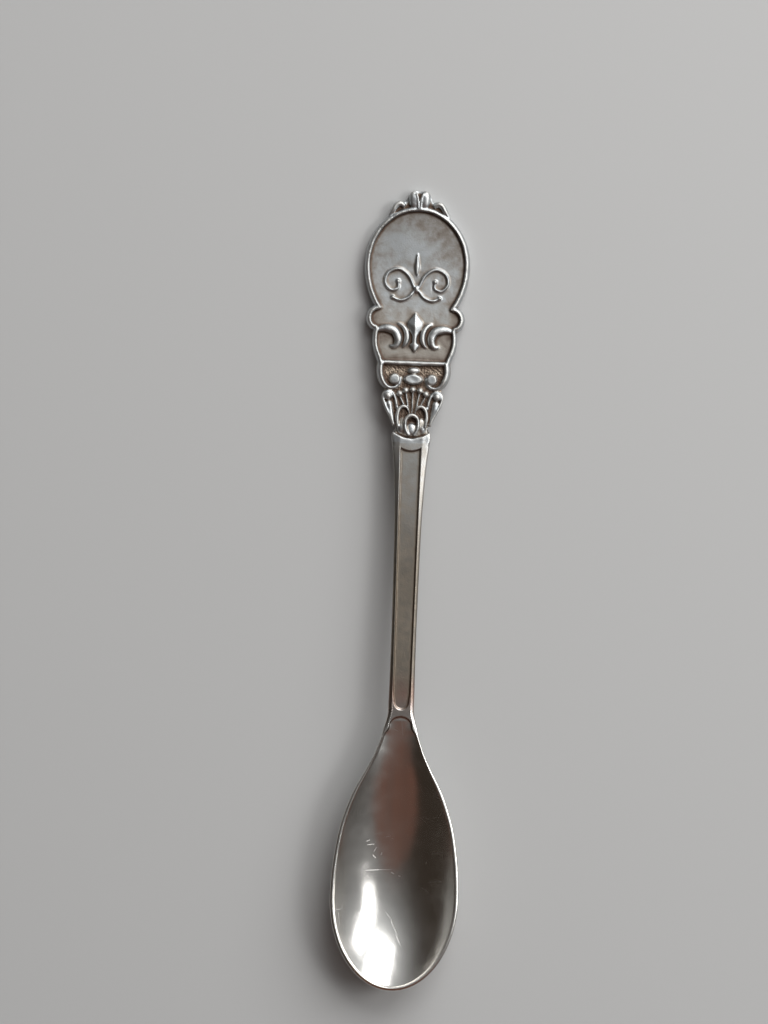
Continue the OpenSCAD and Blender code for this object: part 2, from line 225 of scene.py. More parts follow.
def half_at(y):
    """Half width of the bowl behind its widest place, or of the stem."""
    if y < NECK_Y:
        share = (y - BOWL_WIDEST) / (NECK_Y - BOWL_WIDEST)
        return NECK_HALF + (bowl_half() - NECK_HALF) * height_on(NECK_SHARES, share)
    return height_on(STEM_KNOTS, y)


def panel_half_at(y):
    return PANEL_HALF + PANEL_WIDENING * (y - PANEL_START_Y) / (PANEL_END_Y + 0.5 - PANEL_START_Y)


def hollow_half_at(y):
    narrowed = (y - RIM_NARROWS_START_Y) / (RIM_NARROWS_END_Y - RIM_NARROWS_START_Y)
    rim = mix(RIM_WIDTH, NECK_RIM_WIDTH, ease(narrowed))
    return mix(half_at(y) - rim, ARCH_HALF, ease((y - ARCH_BLEND_Y) / (ARCH_Y - ARCH_BLEND_Y)))


def inner_half_at(y):
    """Half width of the hollow or of the panel, whichever is there."""
    if y < ARCH_Y:
        return hollow_half_at(y)
    return mix(ARCH_HALF, panel_half_at(y), ease((y - ARCH_Y) / (PANEL_START_Y - ARCH_Y)))


def cross_share(t):
    """Rise of the bowl's cross section, from 0 on the middle line to 1 at the rim."""
    return 0.85 * t**2 + 0.15 * t**4


def tip_share(t):
    """Rise of the bowl's long section, from 0 at its deepest place to 1 at the tip."""
    return 0.66 * t**2 + 0.34 * t**3


def rounding(distance, radius):
    """Drop of a rounded corner at a distance from its edge."""
    if distance >= radius:
        return 0.0
    return radius - math.sqrt(max(0.0, radius**2 - (radius - distance)**2))


def stem_share(y):
    return min(1.0, max(0.0, (y - NECK_Y + 4) / 4))


def edge_drop(y):
    return 0.1 + 0.2 * stem_share(y)


def inner_round(y):
    return mix(0.14, 0.04, stem_share(y))


def side_drop(y):
    """Depth under the rim at which the side turns into the back."""
    deep = RIM_EDGE
    if y > NECK_Y:
        deep += (STEM_THICKNESS - RIM_EDGE - 0.2) * ((y - NECK_Y) / (COLLAR_Y - NECK_Y)) ** 2
    return max(edge_drop(y) + OUTER_ROUND + 0.1, min(deep, (top_z(y) - under_z(y)) * 0.9))


def hollow_inside(x, y):
    """Distance inside the edge of the hollow behind the bowl's widest place."""
    if y > ARCH_Y:
        return ARCH_HALF - math.hypot(x, (y - ARCH_Y) * ARCH_HALF / ARCH_LENGTH)
    return hollow_half_at(y) - abs(x)


def hollow_depth(x, y):
    """Depth of the hollow under the rim behind the bowl's widest place."""
    if y > HOLLOW_END_Y:
        return 0.0
    half = hollow_half_at(y)
    across = min(1.0, abs(x) / half)
    deep = max(0.0, top_z(y) - inner_round(y) - hollow_z(y)) * (1 - cross_share(across))
    inside = hollow_inside(x, y)
    if y > ARCH_Y:
        deep *= ease(inside / 0.5)
    return deep + HOLLOW_STEP * ease((y - 33) / 8) * ease(inside / PANEL_WALL)


def panel_inside(x, y):
    """Distance inside the edge of the sunk panel, round at one end and dished at the other."""
    round_end = 1.23
    middle_y = PANEL_START_Y + round_end
    if y < middle_y:
        inside = round_end - math.hypot(x, y - middle_y)
    else:
        inside = mix(round_end, panel_half_at(y), ease((y - middle_y) / 1.5)) - abs(x)
    return min(inside, math.hypot(x, y - PANEL_END_Y - DISH_RADIUS) - DISH_RADIUS)


def panel_cut(x, y):
    """Depth of the sunk panel under the face of the stem."""
    return sizes().panel_depth * MM * ease(panel_inside(x, y) / PANEL_WALL)


def panel_corner(x, y):
    """How much a place lies in the corner between the panel's floor and its wall."""
    inside = panel_inside(x, y)
    return ease(inside / PANEL_WALL) * (1 - ease((inside - PANEL_WALL) / 0.4))


def collar_cut(x, y):
    """Step down behind the crescent collar, to the level of the finial plate."""
    inside = COLLAR_RADIUS - math.hypot(x, y - COLLAR_Y - 0.2 - COLLAR_RADIUS)
    return (STEM_THICKNESS - sizes().plate_thickness * MM + 0.2) * ease(inside / 0.22)


# The bowl and stem are a grid of rows; each row runs from the middle of the top over the
# rim and round to the middle of the back.
INNER = 24
BORDER = 8
SIDE = 3
BACK = 13
COLUMNS = INNER + BORDER + SIDE + BACK + 1


def inner_share(column):
    t = column / INNER
    return t * (1.25 - 0.25 * t * t)


def border_share(column):
    return (1 - math.cos(math.pi * (column - INNER) / BORDER)) / 2


def back_share(column):
    return math.cos(math.pi / 2 * (column - INNER - BORDER - SIDE) / BACK)


def tip_point(angle, column):
    """Point of the bowl on a ray from its deepest place; angle 0 points to the tip."""
    deepest = Vector((0, BOWL_WIDEST))
    reach = BOWL_WIDEST - BOWL_TIP
    outer = Vector((bowl_half() * math.sin(angle), BOWL_WIDEST - reach * math.cos(angle)))
    rim = Vector(((bowl_half() - RIM_WIDTH) * math.sin(angle),
                  BOWL_WIDEST - (reach - RIM_WIDTH) * math.cos(angle)))
    lengthwise = math.cos(angle) ** 2

    def rise(t):
        return mix(cross_share(t), tip_share(t), lengthwise)

    if column <= INNER:
        t = inner_share(column)
        at = deepest + (rim - deepest) * t
        z = mix(BOWL_WALL, top_z(at.y) - inner_round(0), rise(t))
    elif column <= INNER + BORDER:
        t = border_share(column)
        at = rim + (outer - rim) * t
        z = (top_z(at.y) - edge_drop(0) * t - rounding(RIM_WIDTH * t, inner_round(0))
             - rounding(RIM_WIDTH * (1 - t), OUTER_ROUND))
    elif column <= INNER + BORDER + SIDE:
        t = (column - INNER - BORDER) / SIDE
        at = outer
        z = top_z(at.y) - mix(edge_drop(0) + OUTER_ROUND, side_drop(at.y), t)
    else:
        t = back_share(column)
        at = deepest + (outer - deepest) * t
        z = (top_z(at.y) - side_drop(at.y)) * rise(t)
    return Vector((at.x, at.y, z))


def cross_point(y, column):
    """Point of the bowl or stem on the section across at y."""
    half = half_at(y)
    inner = inner_half_at(y)
    top = top_z(y)
    if column <= INNER:
        x = inner * inner_share(column)
        z = top - inner_round(y) - hollow_depth(x, y) - panel_cut(x, y) - collar_cut(x, y)
    elif column <= INNER + BORDER:
        t = border_share(column)
        x = mix(inner, half, t)
        z = (top - edge_drop(y) * t - rounding((half - inner) * t, inner_round(y))
             - rounding((half - inner) * (1 - t), OUTER_ROUND) - collar_cut(x, y))
    elif column <= INNER + BORDER + SIDE:
        t = (column - INNER - BORDER) / SIDE
        x = half
        z = top - mix(edge_drop(y) + OUTER_ROUND, side_drop(y), t) - (1 - t) * collar_cut(x, y)
    else:
        x = half * back_share(column)
        z = mix(under_z(y), top - side_drop(y), cross_share(back_share(column)))
    return Vector((x, y, z))


def lay_grid(bm, rows, columns, point):
    """Adds a grid and puts each of its vertices where point(row, column) says."""
    made = bmesh.ops.create_grid(bm, x_segments=columns - 1, y_segments=rows - 1, size=0.5)
    for vert in made["verts"]:
        column = round((vert.co.x + 0.5) * (columns - 1))
        row = round((vert.co.y + 0.5) * (rows - 1))
        vert.co = point(row, column)
    return made["verts"]


def stretches(*spans):
    """Stations along y: each span is (from, to, step)."""
    stations = []
    for start, end, step in spans:
        count = round((end - start) / step)
        stations += [start + (end - start) * k / count for k in range(count)]
    return stations + [spans[-1][1]]


def close_half(bm):
    """Merges the poles, mirrors the half on the middle plane and turns its faces outward."""
    bmesh.ops.remove_doubles(bm, verts=bm.verts, dist=0.0005)
    bmesh.ops.mirror(bm, geom=bm.verts[:] + bm.edges[:] + bm.faces[:], axis="X", merge_dist=0.001)
    bmesh.ops.recalc_face_normals(bm, faces=bm.faces)


def bowl_and_stem():
    """Bowl and stem up to the join under the collar, open there."""
    bm = bmesh.new()
    rays = 40
    stations = stretches((BOWL_WIDEST, 34, 0.4), (34, 40, 0.25), (40, 46, 0.12), (46, 83, 0.85),
                         (83, JOIN_Y, 0.1))

    def point(row, column):
        if row < rays:
            return tip_point(math.pi / 2 * row / rays, column)
        return cross_point(stations[row - rays], column)

    lay_grid(bm, rays + len(stations), COLUMNS, point)
    close_half(bm)
    recess = bm.verts.layers.float.new("recess")
    for vert in bm.verts:
        x, y, z = vert.co
        if y > NECK_Y and z > back_z(y) + STEM_THICKNESS / 2:
            vert[recess] = PANEL_DIRT * panel_corner(x, y)
        elif y > ARCH_Y - 1 and z > top_z(y) - 0.5:
            vert[recess] = ARCH_DIRT * ease(1 - abs(hollow_inside(x, y) - PANEL_WALL / 2) / 0.2)
    return bm


# Finial, laid out flat: x across, y from the collar, z above the back of the plate.

def through(knots, steps):
    """Smooth path through knots of any number of values, with steps to each span."""
    knots = [Vector(k) for k in knots]
    last = len(knots) - 1
    path = []
    for i in range(last):
        a, b = knots[max(i - 1, 0)], knots[i]
        c, d = knots[i + 1], knots[min(i + 2, last)]
        for k in range(steps):
            t = k / steps
            path.append((2 * b + (c - a) * t + (2 * a - 5 * b + 4 * c - d) * t**2
                         + (3 * b - a - 3 * c + d) * t**3) / 2)
    return path + [knots[last]]


# Sections of the beads, out and up in half widths; the frame's also covers the plate's edge.
ROUND_SECTION = [(math.cos(math.pi * k / 6), math.sin(math.pi * k / 6)) for k in range(12)]
FRAME_SECTION = [(-0.95, -0.2), (-0.86, 0.6), (-0.64, 1.2), (-0.36, 1.45), (0, 1.38), (0.36, 1.14),
                 (0.66, 0.8), (0.86, 0.25), (1.02, -0.7), (1.16, -1.7), (1.12, -2.6), (0.8, -2.86),
                 (-0.95, -2.86)]


def plate_top():
    return sizes().plate_thickness * MM


def sweep(bm, knots, rise=1.4, lift=0.0, section=ROUND_SECTION, steps=5):
    """Bead along knots (x, y, half width); its section is to the left and up."""
    path = through(knots, steps)
    last = len(path) - 1
    sides = len(section)

    def point(row, column):
        here = path[row]
        way = path[min(row + 1, last)] - path[max(row - 1, 0)]
        left = Vector((-way[1], way[0])).normalized()
        out, up = section[column % sides]
        height = up * here[2] * (rise if section is ROUND_SECTION else 1)
        return Vector((here[0] + left.x * here[2] * out, here[1] + left.y * here[2] * out,
                       plate_top() + lift + height))

    verts = lay_grid(bm, last + 1, sides + 1, point)
    welded = bmesh.ops.find_doubles(bm, verts=verts, dist=1e-5)["targetmap"]
    bmesh.ops.weld_verts(bm, targetmap=welded)
    rims = [e for e in bm.edges if e.is_boundary]
    bmesh.ops.holes_fill(bm, edges=rims, sides=0)


def boss(bm, at, half, lift=0.0, turn=0.0):
    """Rounded boss at (x, y) with half sizes across, along and up."""
    place = (Matrix.Translation((at[0], at[1], plate_top() + lift)) @ Matrix.Rotation(turn, 4, "Z")
             @ Matrix.Diagonal((*half, 1)))
    return bmesh.ops.create_uvsphere(bm, u_segments=24, v_segments=14, radius=1, matrix=place)["verts"]


def flat_boss(bm, at, half, level=0.6):
    """Rounded boss whose top is flattened at a share of its height."""
    for vert in boss(bm, at, half):
        vert.co.z = min(vert.co.z, plate_top() + half[2] * level)


def hull(bm, *bosses):
    """Convex form stretched over bosses, each (at, half, lift)."""
    verts = []
    for at, half, lift in bosses:
        verts += boss(bm, at, half, lift)
    made = bmesh.ops.convex_hull(bm, input=verts)
    spare = set(made["geom_interior"] + made["geom_unused"])
    bmesh.ops.delete(bm, geom=[v for v in spare if isinstance(v, bmesh.types.BMVert)])


def slab(bm, outline, top):
    """Flat plate of an outline, from the back up to a height."""
    face = bm.faces.new([bm.verts.new((x, y, 0)) for x, y in outline])
    made = bmesh.ops.extrude_face_region(bm, geom=[face])
    raised = [v for v in made["geom"] if isinstance(v, bmesh.types.BMVert)]
    bmesh.ops.translate(bm, verts=raised, vec=(0, 0, top))


def arc(middle, radii, start, end, count, half):
    """Knots on an ellipse arc from one angle in degrees to another."""
    knots = []
    for k in range(count + 1):
        a = math.radians(start + (end - start) * k / count)
        knots.append((middle[0] + radii[0] * math.cos(a), middle[1] + radii[1] * math.sin(a), half))
    return knots


OVAL_MIDDLE = (0, 27.2)
OVAL_HALF = 7.8
OVAL = (arc(OVAL_MIDDLE, (OVAL_HALF, 8.75), 90, 0, 8, 0.42)
        + arc(OVAL_MIDDLE, (OVAL_HALF, 10), 0, -44, 5, 0.42)[1:])
LOBE = (arc((5.55, 18.85), (1.72, 1.72), 78, -72, 7, 0.42)
        + [(6.17, 16.3, 0.4), (6.2, 15.5, 0.4), (6.15, 14.7, 0.4), (5.85, 13.6, 0.42),
           (5.45, 12.6, 0.42), (5.2, 11.8, 0.42)])
LOWER_FRAME = [(5.1, 12.0, 0.48), (5.25, 11.2, 0.52), (5.22, 10.2, 0.52), (4.9, 9.2, 0.5),
               (4.4, 8.45, 0.42), (3.68, 8.02, 0.34), (2.9, 8.1, 0.3), (2.25, 8.55, 0.26),
               (1.95, 9.2, 0.22), (1.92, 9.8, 0.16)]
SCROLL = [(6.0, 16.9, 0.3), (5.3, 17.15, 0.5), (4.3, 17.25, 0.66), (3.2, 16.85, 0.7),
          (2.62, 15.9, 0.68), (2.72, 14.98, 0.54), (3.2, 14.5, 0.38), (3.8, 14.6, 0.18)]
CRESCENT = [(2.7, 18.05, 0.12), (2.0, 17.75, 0.3), (1.4, 16.9, 0.42), (1.22, 15.85, 0.44),
            (1.42, 14.95, 0.36), (1.85, 14.4, 0.14)]
LEAF = [(2.75, 2.3, 0.2), (3.35, 3.6, 0.26), (4.1, 5.0, 0.28), (4.55, 6.2, 0.25),
        (4.55, 7.0, 0.24), (3.95, 7.48, 0.24), (3.18, 7.3, 0.24), (2.74, 6.5, 0.24),
        (2.5, 5.6, 0.24), (2.36, 4.7, 0.18)]
SIDE_SHELL = [(0.55, 4.5, 0.14), (0.8, 4.98, 0.22), (1.35, 5.22, 0.27), (1.95, 4.87, 0.28),
              (2.27, 4.0, 0.28), (2.27, 3.0, 0.27), (2.1, 2.0, 0.2)]
MIDDLE_SHELL = [(0.35, 0.7, 0.18), (0.84, 1.5, 0.25), (1.03, 2.5, 0.28), (0.82, 3.4, 0.3)]
EDGE = ([(p[0], p[1]) for p in OVAL + LOBE]
        + [(5.25, 11.6), (5.3, 10.6), (5.0, 9.4), (4.5, 8.6), (4.4, 7.9), (4.6, 7.2), (4.55, 6.2),
           (3.95, 4.7), (3.2, 3.2), (2.65, 2.2), (2.45, 1.6), (2.45, 0.8), (2.4, -0.2)])
CROWN = [(0, 34.6), (4.5, 34.5), (4.2, 36.0), (3.7, 36.9), (2.9, 37.2), (2.1, 36.9), (1.95, 37.6),
         (1.5, 38.45), (0.8, 38.8), (0, 38.65)]


def both_sides(outline):
    return outline + [(-x, y) for x, y in reversed(outline) if x > 0]


def relief_right(bm):
    """Everything on the right half of the finial that has a twin on the left."""
    sweep(bm, OVAL, section=FRAME_SECTION, steps=4)
    sweep(bm, LOBE, section=FRAME_SECTION, steps=3)
    sweep(bm, LOWER_FRAME, section=FRAME_SECTION, steps=4)
    flat_boss(bm, (2.9, 9.42), (0.87, 0.87, 1.0))
    sweep(bm, SCROLL, rise=1.0)
    sweep(bm, CRESCENT, rise=1.35)
    sweep(bm, LEAF, rise=1.9)
    boss(bm, (3.84, 6.8), (0.66, 0.66, 0.72), 0.12)
    hull(bm, ((3.66, 5.55), (0.52, 0.6, 0.52), 0.02), ((2.9, 2.5), (0.2, 0.4, 0.4), 0))
    for head, foot in [((1.12, 7.68), (0.5, 4.3)), ((2.06, 7.15), (1.15, 5.1))]:
        stamen(bm, head, foot)
    sweep(bm, SIDE_SHELL, rise=1.4, lift=0.3)
    boss(bm, (1.55, 2.2), (0.68, 1.3, 0.5), turn=0.12)
    boss(bm, (0.84, 37.2), (0.8, 1.5, 0.62), 0.05, turn=-0.1)
    sweep(bm, [(0.2, 36.0, 0.14), (0.22, 36.8, 0.18), (0.3, 37.6, 0.18), (0.55, 38.3, 0.14)], lift=0.45)
    sweep(bm, [(4.7, 34.6, 0.25), (4.1, 35.6, 0.42), (3.6, 36.4, 0.46), (2.95, 36.7, 0.42),
               (2.3, 36.3, 0.3)], rise=1.4)
    for knots in ORNAMENT:
        sweep(bm, [(x, OVAL_MIDDLE[1] + y, half) for x, y, half in knots], rise=1.5)
    boss(bm, (2.9, OVAL_MIDDLE[1] - 2.55), (0.32, 0.32, 0.38))
    boss(bm, (3.65, OVAL_MIDDLE[1] - 5.05), (0.3, 0.3, 0.38))


# Lines of the raised ornament on the oval, right side, from the middle of the oval.
ORNAMENT = [
    [(0.3, -3.6, 0.18), (1.3, -1.6, 0.22), (2.9, -0.6, 0.22), (4.5, -1.3, 0.22), (4.9, -2.8, 0.22),
     (4.0, -3.9, 0.22), (2.9, -3.6, 0.2), (2.9, -2.6, 0.18)],
    [(0.3, -3.9, 0.18), (1.2, -5.0, 0.22), (2.5, -5.5, 0.22), (3.6, -5.1, 0.18)]]


def stamen(bm, head, foot):
    """Round head on a thin stalk."""
    boss(bm, head, (0.46, 0.46, 0.46), 0.18)
    hull(bm, ((mix(head[0], foot[0], 0.1), head[1] - 0.4), (0.13, 0.16, 0.36), 0),
         (foot, (0.1, 0.16, 0.36), 0))


def relief_middle(bm):
    """Everything that stands on the middle line of the finial."""
    slab(bm, both_sides(EDGE), plate_top())
    slab(bm, both_sides(CROWN), plate_top())
    sweep(bm, [(x, 11.95, 0.38) for x in (-5.2, -2.6, 0, 2.6, 5.2)], rise=1.55)
    hull(bm, ((0, 19.65), (0.06, 0.1, 0.12), 0.2), ((-1.05, 17.95), (0.14, 0.5, 0.16), 0.1),
         ((1.05, 17.95), (0.14, 0.5, 0.16), 0.1), ((0, 17.6), (0.08, 0.5, 0.2), 0.62),
         ((0, 16.2), (0.3, 0.4, 0.3), 0.3))
    hull(bm, ((0, 17.2), (0.3, 0.4, 0.3), 0.4), ((0, 15.2), (0.34, 0.3, 0.4), 0.2))
    hull(bm, ((0, 15.0), (0.3, 0.3, 0.4), 0.2), ((-0.55, 14.7), (0.2, 0.22, 0.35), 0),
         ((0.55, 14.7), (0.2, 0.22, 0.35), 0), ((0, 13.95), (0.18, 0.25, 0.3), 0.05))
    flat_boss(bm, (0, 9.42), (1.56, 0.82, 1.0))
    boss(bm, (0, 10.78), (0.98, 0.52, 0.6))
    stamen(bm, (0, 7.8), (0, 4.2))
    boss(bm, (0, 1.6), (0.95, 1.1, 0.6))
    hull(bm, ((0, 1.1), (1.7, 0.6, 0.4), 0), ((-1.6, 1.9), (0.5, 0.6, 0.35), 0),
         ((1.6, 1.9), (0.5, 0.6, 0.35), 0))
    arch = MIDDLE_SHELL + [(0, 3.87, 0.32)] + [(-x, y, half) for x, y, half in reversed(MIDDLE_SHELL)]
    sweep(bm, arch, rise=1.4, lift=0.42)
    petal = [(-1.4, (0.1, 0.2, 0.3)), (-0.3, (0.38, 0.5, 0.4)), (1.7, (0.08, 0.1, 0.2))]
    hull(bm, *(((0, OVAL_MIDDLE[1] + y), half, 0) for y, half in petal))
    boss(bm, (0, OVAL_MIDDLE[1] - 3.7), (0.4, 0.58, 0.42))
    boss(bm, (0, 36.1), (0.3, 0.42, 0.6))


def mark_wear(mesh):
    """Stores "recess" and "ground" on a flat laid mesh in millimetres, for the silver to read.

    Recess is how deep a vertex lies under its smoothed surroundings, 1 at a full recess and
    below 0 on crests. Ground is 1 where the stippled ground of the lower field is bare.
    """
    count = len(mesh.vertices)
    points = np.empty(count * 3)
    mesh.vertices.foreach_get("co", points)
    points = points.reshape(count, 3)
    ends = np.empty(len(mesh.edges) * 2, dtype=np.int64)
    mesh.edges.foreach_get("vertices", ends)
    first, second = ends[0::2], ends[1::2]
    links = np.bincount(first, minlength=count) + np.bincount(second, minlength=count)
    smooth = points.copy()
    for _ in range(RECESS_PASSES):
        for axis in range(3):
            total = (np.bincount(first, weights=smooth[second, axis], minlength=count)
                     + np.bincount(second, weights=smooth[first, axis], minlength=count))
            smooth[:, axis] = total / links
    normals = np.empty(count * 3)
    mesh.vertices.foreach_get("normal", normals)
    depth = ((smooth - points) * normals.reshape(count, 3)).sum(axis=1) / FULL_RECESS
    mesh.attributes.new("recess", "FLOAT", "POINT").data.foreach_set("value", depth)

    drawn_y = points[:, 1] / ALONG
    over_plate = points[:, 2] - plate_top()
    ground = (np.clip(1.2 - over_plate / 0.1, 0, 1) * (over_plate > -0.3)
              * np.clip((drawn_y - GROUND_START_Y) / 1.5, 0, 1)
              * np.clip((GROUND_END_Y - drawn_y) / 0.2, 0, 1))
    mesh.attributes.new("ground", "FLOAT", "POINT").data.foreach_set("value", ground)


def merged(bm, other):
    """Adds another mesh in the making to bm, and frees it."""
    spare = bpy.data.meshes.new("spare")
    other.to_mesh(spare)
    other.free()
    bm.from_mesh(spare)
    bpy.data.meshes.remove(spare)


def collar_stub(bm):
    """Closed end of the stem from just under the join to inside the cup."""
    stations = stretches((JOIN_Y - 0.6, COLLAR_Y + 2.4, 0.1))
    part = bmesh.new()
    lay_grid(part, len(stations), COLUMNS, lambda row, column: cross_point(stations[row], column))
    close_half(part)
    bmesh.ops.holes_fill(part, edges=[e for e in part.edges if e.is_boundary], sides=0)
    for vert in part.verts:
        vert.co.z -= back_z(vert.co.y)
        vert.co.y -= COLLAR_Y
    merged(bm, part)


def after_modifier(bm, kind, prepare=None, **settings):
    """The mesh in the making, as one modifier leaves it."""
    mesh = bpy.data.meshes.new("spare")
    bm.to_mesh(mesh)
    bm.free()
    if prepare:
        prepare(mesh)
    blank = bpy.data.objects.new("spare", mesh)
    bpy.context.scene.collection.objects.link(blank)
    modifier = blank.modifiers.new("step", kind)
    for name, value in settings.items():
        setattr(modifier, name, value)
    bpy.context.view_layer.update()
    evaluated = blank.evaluated_get(bpy.context.evaluated_depsgraph_get())
    shaped = bpy.data.meshes.new_from_object(evaluated)
    bpy.data.objects.remove(blank)
    bpy.data.meshes.remove(mesh)
    made = bmesh.new()
    made.from_mesh(shaped)
    bpy.data.meshes.remove(shaped)
    return made


def finial():
    """Finial fused to one skin, bent to the side curve and open at the join."""
    bm = bmesh.new()
    relief_right(bm)
    twins = bmesh.ops.duplicate(bm, geom=bm.verts[:] + bm.edges[:] + bm.faces[:])["geom"]
    bmesh.ops.scale(bm, vec=(-1, 1, 1), verts=[v for v in twins if isinstance(v, bmesh.types.BMVert)])
    bmesh.ops.reverse_faces(bm, faces=[f for f in twins if isinstance(f, bmesh.types.BMFace)])
    relief_middle(bm)
    bmesh.ops.scale(bm, vec=(1, ALONG, 1), verts=bm.verts)
    collar_stub(bm)
    grain = sizes().grain * MM * 1
    bm = after_modifier(bm, "REMESH", mode="VOXEL", voxel_size=grain)
    for _ in range(SOFTENING):
        bmesh.ops.smooth_vert(bm, verts=bm.verts, factor=0.5, use_axis_x=True, use_axis_y=True,
                              use_axis_z=True)
    for vert in bm.verts:
        wander = noise.noise(vert.co / WEAR_LENGTH)
        vert.co += vert.normal * WEAR_DEPTH * wander * ease((vert.co.z - plate_top()) / 0.3)
    bm = after_modifier(bm, "DECIMATE", prepare=mark_wear, ratio=KEPT_FACES)
    join = (0, JOIN_Y + JOIN_GAP - COLLAR_Y, 0)
    bmesh.ops.bisect_plane(bm, geom=bm.verts[:] + bm.edges[:] + bm.faces[:], dist=1e-4, plane_co=join,
                           plane_no=(0, 1, 0), clear_inner=True)
    for vert in bm.verts:
        vert.co.y += COLLAR_Y
        vert.co.z = max(0.0, vert.co.z) + back_z(vert.co.y)
    return bm


def put_on_grid(bm, name):
    """Object in metres in the part's frame, from a mesh in millimetres from the bowl tip."""
    bmesh.ops.translate(bm, verts=bm.verts, vec=(0, -OVERALL / 2, 0))
    bmesh.ops.scale(bm, verts=bm.verts, vec=(1 / MM, 1 / MM, 1 / MM))
    mesh = bpy.data.meshes.new(name)
    bm.to_mesh(mesh)
    bm.free()
    mesh.shade_smooth()
    piece = bpy.data.objects.new(name, mesh)
    bpy.context.scene.collection.objects.link(piece)
    return piece


def node(tree, kind, settings=None, **inputs):
    """Adds a node; each input is a value or another node's socket, by name or as i0, i1."""
    made = tree.nodes.new(kind)
    for name, value in (settings or {}).items():
        setattr(made, name, value)
    for name, value in inputs.items():
        socket = made.inputs[int(name[1:]) if name[1:].isdigit() else name.replace("_", " ")]
        if isinstance(value, bpy.types.NodeSocket):
            tree.links.new(value, socket)
        else:
            socket.default_value = value
    return made


def figure(tree, operation, *values):
    """Result of a math node."""
    inputs = {f"i{k}": value for k, value in enumerate(values)}
    return node(tree, "ShaderNodeMath", {"operation": operation}, **inputs).outputs[0]


def smooth_step(tree, value, start, end, low=0.0, high=1.0):
    """Runs smoothly from low to high while the value runs from start to end."""
    return node(tree, "ShaderNodeMapRange", {"interpolation_type": "SMOOTHSTEP"}, Value=value,
                From_Min=start, From_Max=end, To_Min=low, To_Max=high).outputs[0]


def blend(tree, share, first, second):
    """Colour between two colours."""
    return node(tree, "ShaderNodeMix", {"data_type": "RGBA"}, i0=share, i6=first,
                i7=second).outputs[2]


def speckle(tree, place, grain, detail=2.0):
    """Noise with lumps of a given size in metres."""
    return node(tree, "ShaderNodeTexNoise", Vector=place, Scale=1 / grain, Detail=detail).outputs[0]


def bumped(tree, height, rise, normal=None, **settings):
    """Normal over a height pattern that rises a given number of metres."""
    inputs = {"Strength": 1.0, "Distance": rise, "Height": height, **settings}
    if normal:
        inputs["Normal"] = normal
    return node(tree, "ShaderNodeBump", **inputs).outputs[0]


# Sizes and heights of the patterns in the silver, in metres.
CLOUD_SIZE = 0.0012
HAZE_SIZE = 0.0035
WORN_SPOT_SIZE = 0.006
WAVE_SIZE, WAVE_HEIGHT = 0.003, 0.00003
SATIN_SIZE, SATIN_HEIGHT = 0.00025, 0.00002
STIPPLE_SIZE, STIPPLE_HEIGHT = 0.0003, 0.00012
SCRATCH_DEPTH = 0.00001

STAIN = hex_colour("#9C9182")
# Colour of the crests: partly silver worn bare, partly a painted highlight of the light that convex
# beads catch.
CREST_WEAR_AND_HIGHLIGHT = hex_colour("#C4C3BF")
GROUND_STAIN = hex_colour("#A08F7C")

# Directions of the fine scratches: (angle in degrees, length, gap between lines) in metres.
SCRATCHES = [(12, 0.007, 0.00016), (64, 0.005, 0.00014), (-38, 0.006, 0.00014),
             (97, 0.006, 0.00014), (158, 0.005, 0.00014)]
SCRATCH_THRESHOLD = 0.76
SCRATCH_STRENGTH = 0.35

# Marks that show on their own: (x, y, angle in degrees, length, half width) in mm.
MARKS = [(-2.4, 18.4, 2, 5.6, 0.04), (-0.35, 17.95, -28, 0.9, 0.09), (0.75, 17.5, -10, 0.5, 0.08),
         (0.2, 9.4, -62, 3.6, 0.05), (0.9, 7.6, -64, 2.6, 0.05), (-0.7, 11.2, -50, 2.2, 0.045),
         (-0.2, 10.4, -70, 1.6, 0.04), (-3.2, 21.6, 62, 1.3, 0.06), (-3.9, 22.4, 8, 1.8, 0.05),
         (-3.3, 20.5, -48, 1.2, 0.05), (-4.4, 23.0, 20, 0.9, 0.06), (-2.2, 20.9, 75, 0.7, 0.05),
         (0.35, 52.4, -72, 3.4, 0.05), (1.25, 50.2, 60, 0.8, 0.05)]


def on_grid(y):
    """Metres along the part's frame of a place given in mm from the bowl tip."""
    return (y - OVERALL / 2) / MM


def scratches(tree, place, angle, length, gap):
    """Mask of straight fine scratches in one direction, from stretched noise."""
    turned = node(tree, "ShaderNodeMapping", {"vector_type": "TEXTURE"}, Vector=place,
                  Rotation=(0, 0, math.radians(angle)), Scale=(length, gap, 1)).outputs[0]
    grain = node(tree, "ShaderNodeTexNoise", {"noise_dimensions": "2D"}, Vector=turned,
                 Scale=1.0, Detail=1.0).outputs[0]
    return smooth_step(tree, grain, SCRATCH_THRESHOLD, SCRATCH_THRESHOLD + 0.07)


def mark(tree, place, x, y, angle, length, half):
    """Mask of one straight scratch that thins out to its ends."""
    turned = node(tree, "ShaderNodeMapping", {"vector_type": "TEXTURE"}, Vector=place,
                  Location=(x / MM, on_grid(y), 0), Rotation=(0, 0, math.radians(angle)),
                  Scale=(length / 2 / MM, half / MM, 1)).outputs[0]
    parts = node(tree, "ShaderNodeSeparateXYZ", Vector=turned)
    along = smooth_step(tree, figure(tree, "ABSOLUTE", parts.outputs["X"]), 1.0, 0.2)
    across = smooth_step(tree, figure(tree, "ABSOLUTE", parts.outputs["Y"]), 1.0, 0.3)
    return figure(tree, "MULTIPLY", along, across)


